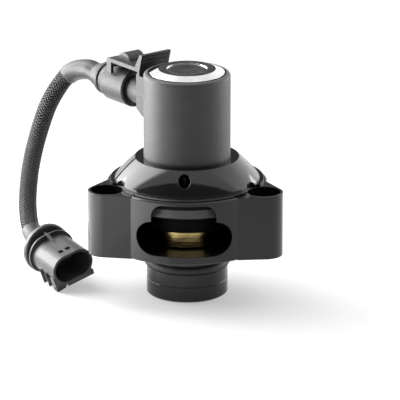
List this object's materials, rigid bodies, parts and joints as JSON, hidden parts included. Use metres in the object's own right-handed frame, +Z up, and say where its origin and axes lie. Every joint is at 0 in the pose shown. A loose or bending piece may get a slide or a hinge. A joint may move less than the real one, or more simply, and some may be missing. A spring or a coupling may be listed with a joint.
{
  "type": "blow off valve",
  "caption": "Solenoid blow off valve with a flanged body, vent window, lifting piston and a short lead to an end connector.",
  "frame": {"origin": "centre of the mounting face under the bolt ears, where the spigot's axis meets it", "axes": "+Z up the valve's axis through the solenoid, -Y out of the vent window, +X to the right seen from the window"},
  "size_m": [0.1015, 0.0867, 0.0878],
  "materials": {
    "black_anodised": "gloss black anodised",
    "brass": "turned brass",
    "bright_steel": "bright turned steel",
    "plain_steel": "machined steel",
    "spring_steel": "drawn spring wire",
    "copper": "enamelled copper wire",
    "terminal_brass": "tinned brass",
    "solenoid_plastic": "fine moulded grey black",
    "plug_plastic": "moulded black",
    "connector_plastic": "moulded black",
    "seal_plastic": "plain",
    "shrink_sleeve": "smooth shrunk sleeve",
    "braid": "braided sleeve",
    "rubber": "matt rubber"
  },
  "bodies": {
    "valve": {"valve_body": "black_anodised", "base_o_ring": "rubber", "solenoid_retainer": "black_anodised", "retainer_o_ring": "rubber", "piston_spring": "spring_steel", "solenoid_gasket": "rubber", "solenoid_housing": "solenoid_plastic", "top_disc": "bright_steel", "yoke": "plain_steel", "coil_bobbin": "seal_plastic", "coil_winding": "copper", "fixed_core": "plain_steel", "lower_pole": "plain_steel", "plunger_spring": "spring_steel", "socket_terminals": "terminal_brass", "plug_housing": "plug_plastic", "plug_terminals": "terminal_brass", "plug_seal": "rubber", "plug_rear_cap": "plug_plastic", "upper_sleeve": "shrink_sleeve", "lead_cord": "braid", "lower_sleeve": "shrink_sleeve", "connector_rear_cap": "connector_plastic", "connector_housing": "connector_plastic", "connector_terminals": "terminal_brass"},
    "piston": {"piston": "brass", "piston_ring": "seal_plastic"},
    "plunger": {"plunger": "plain_steel", "plunger_seal": "rubber"},
    "latch": {"plug_latch": "plug_plastic"}
  },
  "joints": [
    {"name": "piston_lift", "type": "slide", "parent": "valve", "child": "piston", "axis": [0, 0, 1], "range_m": [0, 0.009], "stiffness_N_per_m": 600, "springref_m": -0.01, "deforming": ["piston_spring"]},
    {"name": "plunger_lift", "type": "slide", "parent": "valve", "child": "plunger", "axis": [0, 0, 1], "range_m": [0, 0.002], "stiffness_N_per_m": 1500, "springref_m": -0.002, "deforming": ["plunger_spring"]},
    {"name": "latch_hinge", "type": "hinge", "parent": "valve", "child": "latch", "pos_m": [-0.02526, 0.03011, 0.0597], "axis": [-0.766, -0.6428, 0], "range_deg": [0, 8], "stiffness_Nm_per_rad": 0.4}
  ]
}
